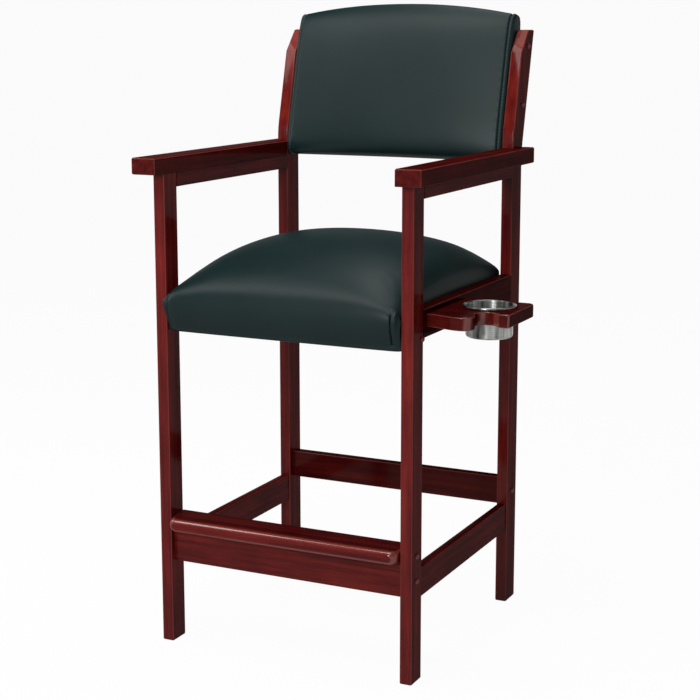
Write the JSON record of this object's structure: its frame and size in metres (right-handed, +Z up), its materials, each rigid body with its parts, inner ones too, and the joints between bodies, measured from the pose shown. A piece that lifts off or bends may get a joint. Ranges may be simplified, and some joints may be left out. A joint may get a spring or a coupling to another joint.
{
  "type": "spectator chair",
  "caption": "Tall hardwood spectator chair with arms, a footrest, a crowned vinyl seat, a leaning padded back and a side board that holds a drop-in cup and a cue.",
  "frame": {"origin": "on the floor, under the middle of the whole chair's bounding box, board included", "axes": "+Z up, +Y from the front of the seat towards the back, +X to the right of someone who faces the chair, which is the side of the cup and cue board"},
  "size_m": [0.688, 0.6213, 1.2185],
  "materials": {
    "mahogany": "mahogany stain under glossy lacquer",
    "vinyl": "black-green upholstery vinyl, fine grain, semi-gloss",
    "plywood": "bare plywood",
    "stainless": "brushed stainless steel with a polished rolled lip",
    "painted_steel": "bolt paint in the colour of the wood, glossy",
    "zinc": "zinc plate"
  },
  "bodies": {
    "chair": {"left_front_leg": "mahogany", "right_front_leg": "mahogany", "left_rear_post": "mahogany", "right_rear_post": "mahogany", "left_arm": "mahogany", "right_arm": "mahogany", "left_arm_rail": "mahogany", "right_arm_rail": "mahogany", "left_seat_rail": "mahogany", "right_seat_rail": "mahogany", "left_stretcher": "mahogany", "right_stretcher": "mahogany", "left_seat_cleat": "mahogany", "right_seat_cleat": "mahogany", "foot_rail": "mahogany", "foot_tread": "mahogany", "rear_stretcher": "mahogany", "front_seat_rail": "mahogany", "seat_deck": "plywood", "seat_cushion": "vinyl", "back_panel": "plywood", "back_cushion": "vinyl", "cup_board": "mahogany", "left_tread_bolt": "painted_steel", "right_tread_bolt": "painted_steel", "left_foot_rail_bolt": "painted_steel", "right_foot_rail_bolt": "painted_steel", "left_seat_bolt": "painted_steel", "right_seat_bolt": "painted_steel", "left_rear_stretcher_bolt": "painted_steel", "right_rear_stretcher_bolt": "painted_steel", "left_lower_back_bolt": "painted_steel", "right_lower_back_bolt": "painted_steel", "left_upper_back_bolt": "painted_steel", "right_upper_back_bolt": "painted_steel", "left_tread_nut": "zinc", "right_tread_nut": "zinc", "left_foot_rail_nut": "zinc", "right_foot_rail_nut": "zinc", "left_seat_nut": "zinc", "right_seat_nut": "zinc", "left_rear_stretcher_nut": "zinc", "right_rear_stretcher_nut": "zinc", "left_lower_back_nut": "zinc", "right_lower_back_nut": "zinc", "left_upper_back_nut": "zinc", "right_upper_back_nut": "zinc", "left_front_deck_screw": "zinc", "left_rear_deck_screw": "zinc", "right_front_deck_screw": "zinc", "right_rear_deck_screw": "zinc", "left_front_cleat_screw": "zinc", "left_rear_cleat_screw": "zinc", "right_front_cleat_screw": "zinc", "right_rear_cleat_screw": "zinc", "front_board_screw": "zinc", "rear_board_screw": "zinc"},
    "cup": {"cup": "stainless"}
  },
  "joints": [
    {"name": "cup_lift", "type": "slide", "parent": "chair", "child": "cup", "axis": [0, 0, 1], "range_m": [0, 0.09]}
  ]
}
